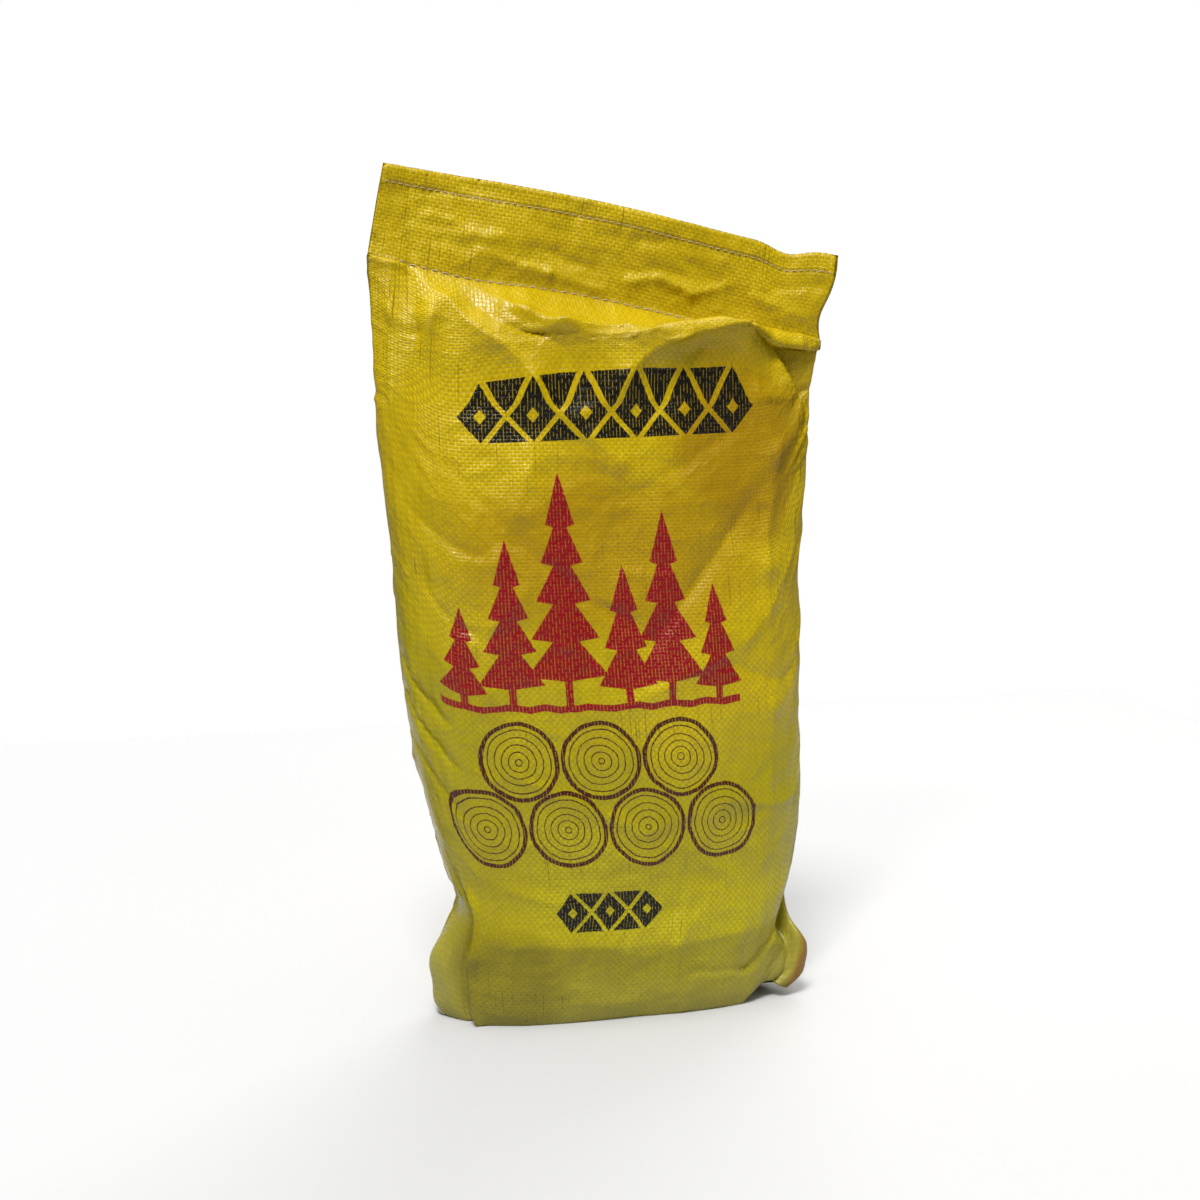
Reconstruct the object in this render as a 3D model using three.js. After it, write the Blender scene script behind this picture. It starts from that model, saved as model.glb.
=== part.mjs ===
// A filled firewood sack: a woven plastic tube sewn shut at both ends, standing on its base,
// with split logs inside. Millimetres, +Z up, the printed front towards -Y.
import * as THREE from "three";

// The sack as it is cut and sewn, lying flat.
const FLAT_WIDTH = 440;
const WALL = 1.4;
const FLAP_HALF = 2.0; // half the thickness of the flat flap, two layers and the slot between them

// The lines of sewing across the top. Both ends are on the tube's side folds.
const SEAM_MIDDLE = { x: -6, z: 668 };
const SEAM_FALL_DEG = 11.2; // the right end hangs lower than the left
const MOUTH_MIDDLE = { x: 7, z: 753 };
const MOUTH_FALL_DEG = 9.8;
const HEM_DEPTH = 16; // from the mouth down to the hem's stitches

// Threads: a strand lies against the cloth on both faces and turns round the side folds.
const STRAND = 1.1;
const STRAND_GAP = 0.5;
const BOTTOM_THREAD_LENGTH = 250;

// Underside: a flat foot, and a shallow hollow over the turned-up bottom edge.
const FOOT_RADIUS = 9;
const HOLLOW_HALF = 27;
const HOLLOW_RISE = 3;

// Level cross-sections from the foot to the shoulders: height, middle, half width, half depth,
// squareness, and how far each side fold stands out as an ear (or is drawn in, if negative).
const SECTIONS = [
  { z: 0, x: 4, halfWidth: 147, halfDepth: 58, square: 3.4, leftEar: 16, rightEar: 18 },
  { z: 11, x: 4, halfWidth: 152, halfDepth: 63, square: 3.4, leftEar: 20, rightEar: 26 },
  { z: 30, x: 4, halfWidth: 153, halfDepth: 66, square: 3.3, leftEar: 25, rightEar: 32 },
  { z: 55, x: 4, halfWidth: 153, halfDepth: 70, square: 3.2, leftEar: 27, rightEar: 34 },
  { z: 81, x: 8, halfWidth: 158, halfDepth: 72, square: 3.0, leftEar: 12, rightEar: 12 },
  { z: 109, x: 13, halfWidth: 165, halfDepth: 73, square: 2.8, leftEar: -5, rightEar: -2 },
  { z: 171, x: 10, halfWidth: 177, halfDepth: 76, square: 2.5, leftEar: 0, rightEar: 0 },
  { z: 306, x: -2, halfWidth: 191, halfDepth: 74, square: 2.2, leftEar: 0, rightEar: 0 },
  { z: 421, x: -7, halfWidth: 196, halfDepth: 66, square: 2.2, leftEar: 0, rightEar: 0 },
  { z: 521, x: -10, halfWidth: 203, halfDepth: 56, square: 2.1, leftEar: 0, rightEar: 0 },
  { z: 591, x: -11, halfWidth: 208, halfDepth: 47, square: 2.0, leftEar: 0, rightEar: 0 },
];

// Grid of the cloth: points across each face, and rows between neighbouring sections.
const ACROSS = 22;
const ROWS_BETWEEN = 2;
const SHOULDER_ROWS = 5;

// Load: split logs standing in two tiers, each with a front and a rear row.
const LOG_LENGTH = 284;
const LOG_LENGTH_STEP = 6; // the logs differ in length by this much
const LOG_GAP = 2; // from each log to the next, to the cloth and to the middle of the sack
const SPLIT_TAPER = 0.88; // width of the split inner face beside the width under the bark
const FLANK_SHARE = 0.86; // how much of the room under the cloth a log's flanks take
const TIERS = [
  { name: "lower", base: 14, perRow: 5, left: -121, right: 129 },
  { name: "upper", base: 308, perRow: 6, left: -170, right: 148 },
];

const POLYPROPYLENE = new THREE.MeshStandardMaterial({ color: 0xc9b90a, roughness: 0.38, metalness: 0 });
const COTTON = new THREE.MeshStandardMaterial({ color: 0xd8c7ae, roughness: 0.85, metalness: 0 });
const SPLIT_WOOD = new THREE.MeshStandardMaterial({ color: 0xa9743f, roughness: 0.8, metalness: 0 });

const mix = (a, b, share) => a + (b - a) * share;

// Points of one ring, counted from the left side fold across the front to the right side fold and
// back across the rear. They are evenly spaced along each face. inset draws the ring inwards.
function ring(section, inset) {
  const halfWidth = section.halfWidth - inset;
  const halfDepth = Math.max(section.halfDepth - inset, 0.6);
  const fall = Math.tan(section.fall ?? 0);
  const outline = (angle) => {
    const power = 2 / section.square;
    const c = Math.cos(angle);
    const across = -Math.sign(c) * halfWidth * Math.abs(c) ** power;
    const depth = -halfDepth * Math.abs(Math.sin(angle)) ** power;
    const ear = across < 0 ? section.leftEar : section.rightEar;
    const nearFold = Math.exp(-((depth / (0.4 * halfDepth)) ** 2)) * (Math.abs(across) / halfWidth) ** 4;
    return [across + Math.sign(across) * ear * nearFold, depth];
  };
  const fine = Array.from({ length: 241 }, (_, i) => outline((Math.PI * i) / 240));
  const run = [0];
  for (let i = 1; i < fine.length; i++) {
    run.push(run[i - 1] + Math.hypot(fine[i][0] - fine[i - 1][0], fine[i][1] - fine[i - 1][1]));
  }
  const face = [];
  let step = 0;
  for (let i = 0; i <= ACROSS; i++) {
    const wanted = (run[240] * i) / ACROSS;
    while (step < 239 && run[step + 1] < wanted) step++;
    const share = Math.min((wanted - run[step]) / (run[step + 1] - run[step]), 1);
    face.push([mix(fine[step][0], fine[step + 1][0], share), mix(fine[step][1], fine[step + 1][1], share)]);
  }
  const place = ([across, depth], side) =>
    new THREE.Vector3(section.x + across, side * depth, section.z - across * fall);
  const front = face.map((p) => place(p, 1));
  const rear = face.slice(1, -1).reverse().map((p) => place(p, -1));
  return [...front, ...rear];
}

// A section part of the way from one to the next. turn shares out the depth, so that a shoulder
// can round over instead of running straight.
function between(low, high, share, turn = share) {
  const made = {};
  for (const key of ["z", "x", "halfWidth", "square", "leftEar", "rightEar"]) {
    made[key] = mix(low[key], high[key], share);
  }
  made.fall = mix(low.fall ?? 0, high.fall ?? 0, share);
  made.halfDepth = mix(low.halfDepth, high.halfDepth, turn);
  return made;
}

const radians = THREE.MathUtils.degToRad;
const flat = { halfWidth: FLAT_WIDTH / 2 - 3, halfDepth: FLAP_HALF, square: 2.6, leftEar: 0, rightEar: 0 };
const closingSeam = { ...flat, ...SEAM_MIDDLE, fall: radians(SEAM_FALL_DEG) };
const mouth = { ...flat, ...MOUTH_MIDDLE, fall: radians(MOUTH_FALL_DEG) };

// All the sections in order from the foot to the mouth.
function allSections() {
  const list = [];
  SECTIONS.slice(0, -1).forEach((low, i) => {
    for (let k = 0; k < ROWS_BETWEEN; k++) list.push(between(low, SECTIONS[i + 1], k / ROWS_BETWEEN));
  });
  const shoulder = SECTIONS.at(-1);
  for (let k = 0; k < SHOULDER_ROWS; k++) {
    const share = k / SHOULDER_ROWS;
    list.push(between(shoulder, closingSeam, share, share ** 2.2));
  }
  const below = between(closingSeam, mouth, -0.04);
  below.halfDepth = FLAP_HALF;
  list.push(below, closingSeam, between(closingSeam, mouth, 0.5), mouth);
  return list;
}

// The underside closes in from the foot's outline to the line where the two faces meet.
function undersideSections(foot, inset) {
  const row = (halfDepth, z) => ({ ...foot, halfDepth: halfDepth + inset, z });
  return [
    row(1.2, HOLLOW_RISE + inset),
    row(HOLLOW_HALF, HOLLOW_RISE + inset),
    row(HOLLOW_HALF + 4, inset),
    row((HOLLOW_HALF + 4 + foot.halfDepth) / 2, inset),
  ];
}

// Joins rings into one closed skin: outside from the base line up to the mouth, over the rim,
// and down the inside to the base line again.
function skin(rings) {
  const around = rings[0].length;
  const points = rings.flat().flatMap((p) => [p.x, p.y, p.z]);
  const faces = [];
  for (let j = 0; j < rings.length - 1; j++) {
    for (let i = 0; i < around; i++) {
      const a = j * around + i;
      const b = j * around + ((i + 1) % around);
      faces.push(a, b, b + around, a, b + around, a + around);
    }
  }
  // Each end is a slit between two facing rows of points, zipped up across.
  const zip = (start, outside) => {
    for (let i = 0; i < ACROSS; i++) {
      const a = start + i;
      const b = start + i + 1;
      const c = start + ((around - i - 1) % around);
      const d = start + ((around - i) % around);
      const halves = i === ACROSS - 1 ? [[a, d, b]] : [[a, c, b], [a, d, c]];
      for (const [p, q, r] of halves) {
        if (p === q || q === r || p === r) continue;
        if (outside) faces.push(p, q, r);
        else faces.push(p, r, q);
      }
    }
  };
  zip(0, true);
  zip((rings.length - 1) * around, false);
  return new THREE.BufferGeometry()
    .setAttribute("position", new THREE.Float32BufferAttribute(points, 3))
    .setIndex(faces);
}

function makeSack() {
  const upper = allSections();
  const foot = upper[0];
  const outer = [...undersideSections(foot, 0), ...upper].map((s) => ring(s, 0));
  const raised = upper.map((s) => ({ ...s, z: s.z < FOOT_RADIUS ? s.z + WALL : s.z }));
  const inner = [...undersideSections({ ...foot, z: foot.z + WALL }, WALL), ...raised].map((s) =>
    ring(s, WALL),
  );
  const sack = new THREE.Mesh(skin([...outer, ...inner.reverse()]), POLYPROPYLENE);
  sack.name = "sack";
  return sack;
}

// A strand round the flat flap, in the line of the section it follows.
function makeStrand(name, section) {
  const half = FLAT_WIDTH / 2 + STRAND_GAP;
  const depth = FLAP_HALF + STRAND_GAP;
  const loop = (grow) => {
    const r = depth + grow;
    const path = new THREE.Shape();
    path.moveTo(-half, -r);
    path.lineTo(half, -r);
    path.absarc(half, 0, r, -Math.PI / 2, Math.PI / 2);
    path.lineTo(-half, r);
    path.absarc(-half, 0, r, Math.PI / 2, (3 * Math.PI) / 2);
    return path;
  };
  const outline = loop(STRAND);
  outline.holes.push(loop(0));
  const strand = new THREE.Mesh(
    new THREE.ExtrudeGeometry(outline, { depth: STRAND, bevelEnabled: false, curveSegments: 5 }),
    COTTON,
  );
  strand.geometry.translate(0, 0, -STRAND / 2);
  strand.position.set(section.x, 0, section.z);
  strand.rotation.y = section.fall;
  strand.name = name;
  return strand;
}

function makeBottomThread() {
  const thread = new THREE.Mesh(new THREE.BoxGeometry(BOTTOM_THREAD_LENGTH, STRAND, STRAND), COTTON);
  thread.position.set(SECTIONS[0].x, 0, HOLLOW_RISE - STRAND_GAP - STRAND / 2);
  thread.name = "bottom_seam_thread";
  return thread;
}

// How far the inside of the sack reaches from its middle plane at x, at the thinnest level from
// low to high.
function roomAt(x, low, high) {
  const sections = SECTIONS.filter((s, i) => {
    const above = SECTIONS[i - 1];
    const below = SECTIONS[i + 1];
    return (!above || above.z <= high) && (!below || below.z >= low);
  });
  const reach = (s) => {
    const share = Math.min(Math.abs(x - s.x) / (s.halfWidth - WALL), 1);
    return (s.halfDepth - WALL) * (1 - share ** s.square) ** (1 / s.square);
  };
  return Math.min(...sections.filter((s) => s.z >= TIERS[0].base).map(reach)) - LOG_GAP;
}

// A split log, standing between left and right: a flat split face inwards, two split flanks and
// a crown of bark outwards. side is 1 for the front row and -1 for the rear row.
function makeLog(name, left, right, side, base, length) {
  const middle = (left + right) / 2;
  const half = (right - left) / 2;
  const flanks = [left, right].map((x) => FLANK_SHARE * roomAt(x, base, base + length));
  if (side > 0) flanks.reverse(); // the front row is turned half round below
  const crown = roomAt(middle, base, base + length) - LOG_GAP;
  const outline = new THREE.Shape();
  outline.moveTo(-half * SPLIT_TAPER, LOG_GAP / 2);
  outline.lineTo(half * SPLIT_TAPER, LOG_GAP / 2);
  outline.lineTo(half, flanks[1]);
  outline.quadraticCurveTo(half / 2, crown, 0, crown);
  outline.quadraticCurveTo(-half / 2, crown, -half, flanks[0]);
  outline.closePath();
  const geometry = new THREE.ExtrudeGeometry(outline, { depth: length, bevelEnabled: false, curveSegments: 3 });
  if (side > 0) geometry.rotateZ(Math.PI);
  const log = new THREE.Mesh(geometry, SPLIT_WOOD);
  log.position.set(middle, 0, base);
  log.name = name;
  return log;
}

function makeLoad() {
  const load = new THREE.Group();
  for (const tier of TIERS) {
    const pitch = (tier.right - tier.left) / tier.perRow;
    for (const [row, side] of [["front", 1], ["rear", -1]]) {
      for (let i = 0; i < tier.perRow; i++) {
        const left = tier.left + pitch * i + LOG_GAP / 2;
        const length = LOG_LENGTH - LOG_LENGTH_STEP * ((i * 3 + (side > 0 ? 0 : 2)) % 4);
        const name = `log_${tier.name}_${row}_${i + 1}`;
        load.add(makeLog(name, left, left + pitch - LOG_GAP, side, tier.base, length));
      }
    }
  }
  return load;
}

const hemShare = HEM_DEPTH / Math.hypot(MOUTH_MIDDLE.x - SEAM_MIDDLE.x, MOUTH_MIDDLE.z - SEAM_MIDDLE.z);
const hemLine = between(mouth, closingSeam, hemShare);

const firewoodSack = new THREE.Group();
firewoodSack.add(
  makeSack(),
  makeStrand("mouth_hem_thread", hemLine),
  makeStrand("closing_seam_thread", closingSeam),
  makeBottomThread(),
  makeLoad(),
);

export default firewoodSack;
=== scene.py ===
"""A filled firewood sack of woven plastic, sewn shut under a flat flap and standing on its base."""

import math

import bpy
import numpy as np
from bpy.props import FloatProperty, FloatVectorProperty, PointerProperty
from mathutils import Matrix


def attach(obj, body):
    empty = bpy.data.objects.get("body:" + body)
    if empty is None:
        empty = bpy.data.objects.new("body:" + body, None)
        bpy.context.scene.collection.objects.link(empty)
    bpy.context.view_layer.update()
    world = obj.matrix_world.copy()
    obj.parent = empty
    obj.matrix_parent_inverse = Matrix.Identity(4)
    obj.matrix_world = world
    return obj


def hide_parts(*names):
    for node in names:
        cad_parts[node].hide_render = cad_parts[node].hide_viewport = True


bl_info = {
    "name": "Firewood sack",
    "version": (1, 0, 0),
    "blender": (4, 5, 0),
    "location": "View3D > Sidebar > Firewood sack",
    "description": "Builds a filled woven firewood sack round its measured frame",
    "category": "Add Mesh",
}

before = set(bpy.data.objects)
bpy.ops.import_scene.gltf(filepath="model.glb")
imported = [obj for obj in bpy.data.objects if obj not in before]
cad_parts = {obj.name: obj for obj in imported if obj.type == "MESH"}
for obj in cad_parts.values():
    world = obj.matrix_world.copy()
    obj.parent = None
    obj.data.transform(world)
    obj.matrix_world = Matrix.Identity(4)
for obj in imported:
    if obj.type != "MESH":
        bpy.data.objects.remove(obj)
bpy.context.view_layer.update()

MM = 0.001

# The cloth as it lies flat. U runs round the tube from the left side fold across the front,
# and V runs up from the bottom line of sewing.
FACE_WIDTH = 0.440
SEAM_V = 0.765
MOUTH_V = 0.850
HEM_V = MOUTH_V - 0.016
HEM_TURN = 0.018
HEM_INSET = 0.4 * MM
BOTTOM_V = 0.006
UNDERSIDE_V = 0.062
TAPE_PITCH = 25.4 * MM / 8

# Grid of the cloth. Its columns and rows divide by 4, for the two coarser passes of the settling,
# and the hem's rows are added after it.
FRONT_COLUMNS = 144
REAR_COLUMNS = 88
ROWS = 276
HEM_ROWS = 5
HEM_SHARES = np.linspace(0, 1, HEM_ROWS + 1)[1:]

# Level sections, close to those of the frame's own solid: height, middle, half width, half depth,
# squareness, left ear and right ear, all but the squareness in millimetres.
SECTIONS = np.array(
    [
        (0, 4, 148, 55, 3.4, 21, 16),
        (11, 4, 152, 60, 3.4, 24, 24),
        (30, 4, 153, 65, 3.3, 25, 29),
        (55, 4, 153, 69, 3.2, 27, 30),
        (81, 8, 158, 74, 3.0, 12, 12),
        (109, 13, 165, 73, 2.8, -5, -2),
        (135, 12, 170, 73, 2.6, 0, 0),
        (171, 10, 177, 76, 2.5, 0, 0),
        (306, -2, 191, 74, 2.2, 0, 0),
        (421, -7, 196, 66, 2.2, 0, 0),
        (521, -10, 203, 56, 2.1, 0, 0),
        (591, -11, 208, 47, 2.0, 0, 0),
        (661, -10, 212, 36, 2.0, 0, 0),
    ],
    float,
)

# The sewn lines across the top, by their middles and their falls to the right. Their waves are
# bells, each by its height in millimetres and by its middle and width as shares of the line.
SEAM_MIDDLE = np.array([-6, 0, 668]) * MM
SEAM_FALL = math.radians(11.2)
SEAM_WAVES = ((4.5, 0.5, 0.2), (-3.5, 0.22, 0.12))
MOUTH_MIDDLE = np.array([7, 0, 753]) * MM
MOUTH_FALL = math.radians(9.8)
MOUTH_WAVES = ((-7, 0.885, 0.045),)
MOUTH_ARCH = 5 * MM
MOUTH_ARCH_END = 0.78
LEFT_DRAW = 2 * MM
RIGHT_DRAW = 4 * MM
TOP_HALF_WIDTH = 217 * MM

# How the stuffed shape passes from one part to the next. The flap's faces open from the seam's gap.
FOOT_ROUNDING = 38 * MM
BOTTOM_RISE = 4 * MM
SHOULDER_LEVEL = 580 * MM
SLOPE_STEP = 12 * MM
LIFT_LEFT = -42  # degrees above the level, of the shoulders where they meet the seam
LIFT_GAIN = 50
SEAM_GAP = 0.7 * MM
FLAP_OPENING = 0.4 * MM
FLAP_PINCH = 7 * MM

# The camera: where it looks, how far it is turned and tilted down, and the width that it takes in
# there, 1200 of the photo's pixels. Then half the floor's side.
CAMERA_TARGET = np.array([-0.010, 0.0, 0.393])
CAMERA_TURN = math.radians(14)
CAMERA_TILT = math.radians(8)
FRAME_WIDTH = 1200 * 0.945 * MM
FLOOR = 1.3


def smooth_through(x, stations, values):
    """A curve through the stations: between two of them it is the cubic whose slope at each is
    the slope from the station before it to the one after it."""
    slopes = np.gradient(values, stations)
    i = np.clip(np.searchsorted(stations, x) - 1, 0, len(stations) - 2)
    gap = stations[i + 1] - stations[i]
    t = np.clip((x - stations[i]) / gap, 0, 1)
    straight = values[i] + (values[i + 1] - values[i]) * ease(t, 0, 1)
    return straight + gap * t * (1 - t) * (slopes[i] * (1 - t) - slopes[i + 1] * t)


def ease(x, low, high):
    """0 below low, 1 above high, and a smooth step between them."""
    t = np.clip((x - low) / (high - low), 0, 1)
    return t * t * (3 - 2 * t)


def hump(x, centre, width):
    """A bell that is 1 at centre and has fallen to 0.37 at width from it."""
    return np.exp(-(((x - centre) / width) ** 2))


def unit(vectors):
    """The vectors, each divided by its length."""
    return vectors / np.maximum(np.linalg.norm(vectors, axis=-1, keepdims=True), 1e-12)


def bells(x, rows):
    """The sum of humps, each given by its height, centre and width."""
    return sum(height * hump(x, centre, width) for height, centre, width in rows)


def noise(x, y, seed, wrap=64):
    """Smooth random values from -1 to 1: random numbers at whole places, blended between them by
    smoothsteps. It repeats every wrap along x."""
    table = np.random.default_rng(seed).uniform(-1, 1, (64, wrap))
    left, low = np.floor(x).astype(int), np.floor(y).astype(int)
    across, up = (t * t * (3 - 2 * t) for t in (x - left, y - low))
    corner = [table[(low + j) % 64, (left + i) % wrap] for j in (0, 1) for i in (0, 1)]
    lower = corner[0] * (1 - across) + corner[1] * across
    upper = corner[2] * (1 - across) + corner[3] * across
    return lower * (1 - up) + upper * up


def crumple(u, v, cells, lean, seed):
    """Crumpled hills with sharp crests, from -1 to 1. The net has cells round the tube, is bent
    by a coarser noise, and the crest is where the noise passes zero. lean stretches it
    upwards."""
    x, y = u / (2 * FACE_WIDTH) * cells, v / (2 * FACE_WIDTH) * cells / lean
    bent_x = x + 0.7 * noise(x / 2, y / 2, seed + 1, cells // 2)
    bent_y = y + 0.7 * noise(x / 2, y / 2, seed + 2, cells // 2)
    return 1 - 3 * np.abs(noise(bent_x, bent_y, seed, cells))


# The stuffed shape that the cloth is drawn over

RING_STEPS = 480
CURVE_STEPS = 32
HALVINGS = 24
RING_LEVELS = 161
EAR_THICKNESS = 0.4  # beside the sack's own half depth


def level_ring(level, columns_u):
    """One level section, at the places of the columns. The outline is a squared ellipse, pulled
    out at each side fold by a bell to make an ear, and the columns are evenly spaced along
    each half of it."""
    middle, half_width, half_depth, square, left_ear, right_ear = (
        smooth_through(level / MM, SECTIONS[:, 0], SECTIONS[:, k]) for k in range(1, 7)
    )
    angle = np.linspace(0, math.pi, RING_STEPS + 1)
    across = -np.sign(np.cos(angle)) * half_width * np.abs(np.cos(angle)) ** (2 / square)
    depth = -half_depth * np.sin(angle) ** (2 / square)
    ear = np.where(across < 0, left_ear, right_ear)
    near_fold = hump(depth, 0, EAR_THICKNESS * half_depth) * (np.abs(across) / half_width) ** 4
    across = across + np.sign(across) * ear * near_fold
    run = np.concatenate([[0], np.cumsum(np.hypot(np.diff(across), np.diff(depth)))])
    share = share_across(columns_u) * run[-1]
    x = middle + np.interp(share, run, across)
    y = -facing(columns_u) * np.interp(share, run, depth)
    return np.stack([x, y], axis=-1) * MM


def fold_distance(columns_u):
    """How far along the cloth each column is from the nearest side fold."""
    return np.abs((columns_u + FACE_WIDTH / 2) % FACE_WIDTH - FACE_WIDTH / 2)


def share_across(columns_u):
    """0 at the left fold and 1 at the right fold, on both faces."""
    return 1 - np.abs(1 - columns_u / FACE_WIDTH)


def facing(columns_u):
    """-1 on the front and 1 on the rear."""
    return np.where(columns_u > FACE_WIDTH, 1.0, -1.0)


def outwards(columns_u):
    """-1 on the front and 1 on the rear, with 0 at the side folds and a smooth step beside them."""
    return facing(columns_u) * ease(fold_distance(columns_u), 0.0, 0.03)


def body_shape(columns_u, rows_v, base_v):
    """The stuffed part below the shoulders: each point is on the level ring at the height that it
    has left above the foot."""
    levels = np.linspace(0, SECTIONS[-1, 0] * MM, RING_LEVELS)
    rings = np.stack([level_ring(level, columns_u) for level in levels])
    height = np.maximum(rows_v[:, None] - base_v, 0)
    at = np.clip(height / levels[-1], 0, 1) * (len(levels) - 1)
    low = np.minimum(at.astype(int), len(levels) - 2)
    share = (at - low)[..., None]
    column = np.broadcast_to(np.arange(len(columns_u)), low.shape)
    xy = rings[low, column] * (1 - share) + rings[low + 1, column] * share
    return np.concatenate([xy, height[..., None]], axis=-1)


def top_lines(columns_u):
    """The closing seam and the mouth, as lines of points that fall to the right, each with its
    waves. The mouth arches too, and both are drawn in at their ends."""
    across = share_across(columns_u)
    side = (2 * across - 1) * TOP_HALF_WIDTH
    seam, mouth = (
        middle + np.stack([side, 0 * side, -side * math.tan(fall)], axis=-1)
        for middle, fall in ((SEAM_MIDDLE, SEAM_FALL), (MOUTH_MIDDLE, MOUTH_FALL))
    )
    arch = MOUTH_ARCH * np.sin(np.pi * np.clip(across / MOUTH_ARCH_END, 0, 1))
    mouth[:, 2] += arch + MM * bells(across, MOUTH_WAVES)
    mouth[:, 0] += LEFT_DRAW * (1 - ease(across, 0, 0.1)) - RIGHT_DRAW * ease(across, 0.9, 1)
    seam[:, 2] += MM * bells(across, SEAM_WAVES)
    seam[:, 0] -= RIGHT_DRAW * ease(across, 0.88, 1)
    seam[:, 1] = outwards(columns_u) * SEAM_GAP
    return seam, mouth


def flap_sway(side, up):
    """How far the flap waves forwards and back, the same for both its faces: a slow wave, a curl
    at the right end, random hills, and long creases pressed into it."""
    slow_wave = 4 * np.sin(2.6 * np.pi * side + 0.6) * up**1.2
    right_curl = 12 * ease(side, 0.86, 1.0) * up
    hills = 3.0 * noise(side * 5, up * 1.6 - side, 31) * ease(up, 0, 0.4)
    coarse = 1 - 2.5 * np.abs(noise(side * 9 + up, up * 3.2 - 1.5 * side, 33))
    fine = 1 - 2.5 * np.abs(noise(side * 21 + up, up * 6.1 - 3 * side, 35))
    crests = (1.5 * coarse + 0.7 * fine) * ease(up, 0, 0.3)
    sway = MM * (slow_wave - right_curl + hills + crests)
    for u0, v0, u1, v1, height, reach in FLAP_CREASES:
        along_u, along_v = (u1 - u0) * MM, (v1 - v0) * MM
        du = side * FACE_WIDTH - u0 * MM
        dv = SEAM_V + up * (MOUTH_V - SEAM_V) - v0 * MM
        share = np.clip((du * along_u + dv * along_v) / (along_u**2 + along_v**2), 0, 1)
        away = np.hypot(du - share * along_u, dv - share * along_v)
        sway -= height * MM * np.exp(-away / (reach * MM))
    return sway


def bezier(p0, p1, p2, p3, t):
    """Points of the cubics from p0 to p3 with handles p1 and p2, one for each column, at the
    shares t along them."""
    t = t[..., None]
    return p0 * (1 - t) ** 3 + 3 * p1 * t * (1 - t) ** 2 + 3 * p2 * t * t * (1 - t) + p3 * t**3


def shoulder_curves(low_points, low_slopes, seam, lift, lengths, most_reach):
    """Handles for the cubics from the top of the body to the closing seam. Both handles grow
    together until each curve is as long as its cloth."""
    steps = np.linspace(0, 1, CURVE_STEPS + 1)[:, None] * np.ones(len(seam))
    least, most = np.zeros(len(seam)), most_reach / lengths
    for _ in range(HALVINGS):
        reach = ((least + most) / 2 * lengths)[:, None]
        points = bezier(low_points, low_points + low_slopes * reach, seam + lift * reach, seam, steps)
        long = np.linalg.norm(np.diff(points, axis=0), axis=-1).sum(axis=0) > lengths
        most = np.where(long, (least + most) / 2, most)
        least = np.where(long, least, (least + most) / 2)
    reach = (least * lengths)[:, None]
    return low_points + low_slopes * reach, seam + lift * reach


def underside(columns_u, rows_v, base_v):
    """The cloth under the base, drawn in from the foot to the bottom line of sewing, which stands
    a little off the floor."""
    foot = level_ring(0.0, columns_u)
    share = np.clip(rows_v[:, None] / np.maximum(base_v, 1e-6), 0, 1)
    across = np.broadcast_to(foot[:, 0], share.shape)
    rise = BOTTOM_RISE * (1 - ease(share, 0.35, 0.75))
    return np.stack([across, foot[:, 1] * share, rise], axis=-1)


def shoulders(columns_u, rows_v, low_v, seam):
    """The cloth from the body's top level to the seam: cubics as long as the cloth between them.
    The upper handle points outwards and down, but a little up at the front's right."""
    front = columns_u <= FACE_WIDTH
    lengths = SEAM_V - low_v
    levels = np.array([SHOULDER_LEVEL - SLOPE_STEP, SHOULDER_LEVEL])
    below, start = body_shape(columns_u, levels, 0 * low_v)
    slope = unit(start - below)
    bulge = ease(fold_distance(columns_u), 0.0, 0.07)
    tilt = np.radians(LIFT_LEFT + LIFT_GAIN * ease(share_across(columns_u), 0.45, 0.78) * front)
    rise = np.sin(tilt) * bulge - (1 - bulge)
    lift = unit(np.stack([0 * tilt, facing(columns_u) * np.cos(tilt) * bulge, rise], axis=-1))
    most_reach = 0.016 + 0.085 * bulge
    handle_low, handle_high = shoulder_curves(start, slope, seam, lift, lengths, most_reach)
    along = np.clip((rows_v[:, None] - low_v) / lengths, 0, 1)
    return bezier(start, handle_low, handle_high, seam, along)


def flap(columns_u, rows_v, seam, mouth):
    """Two faces close together from the seam to the mouth, which sway as one. The right end is
    pinched in."""
    side = share_across(columns_u)
    up = np.clip((rows_v[:, None] - SEAM_V) / (MOUTH_V - SEAM_V), 0, 1)
    points = seam * (1 - up[..., None]) + mouth * up[..., None]
    gap = SEAM_GAP + FLAP_OPENING * ease(up, 0, 0.25)
    sway = flap_sway(np.broadcast_to(side, points.shape[:2]), up)
    points[..., 1] = outwards(columns_u) * gap + sway
    points[..., 0] -= FLAP_PINCH * hump(side, 1, 0.06) * hump(up, 0.36, 0.22)
    return points


def goal_shape(columns_u, rows_v):
    """The whole sack as a surface over U and V: underside, body, shoulders and flap, with a point
    for each row and column."""
    v = rows_v[:, None, None]
    base_v = UNDERSIDE_V * (1 - hump(fold_distance(columns_u), 0, FOOT_ROUNDING))
    low_v = base_v + SHOULDER_LEVEL
    seam, mouth = top_lines(columns_u)
    points = body_shape(columns_u, rows_v, base_v)
    points = np.where(v < base_v[:, None], underside(columns_u, rows_v, base_v), points)
    points = np.where(v > low_v[:, None], shoulders(columns_u, rows_v, low_v, seam), points)
    points = np.where(v > SEAM_V, flap(columns_u, rows_v, seam, mouth), points)
    points = with_lip(points, columns_u, rows_v, low_v)
    points = with_fin(points, columns_u, rows_v)
    return with_right_ear(points, columns_u)


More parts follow.
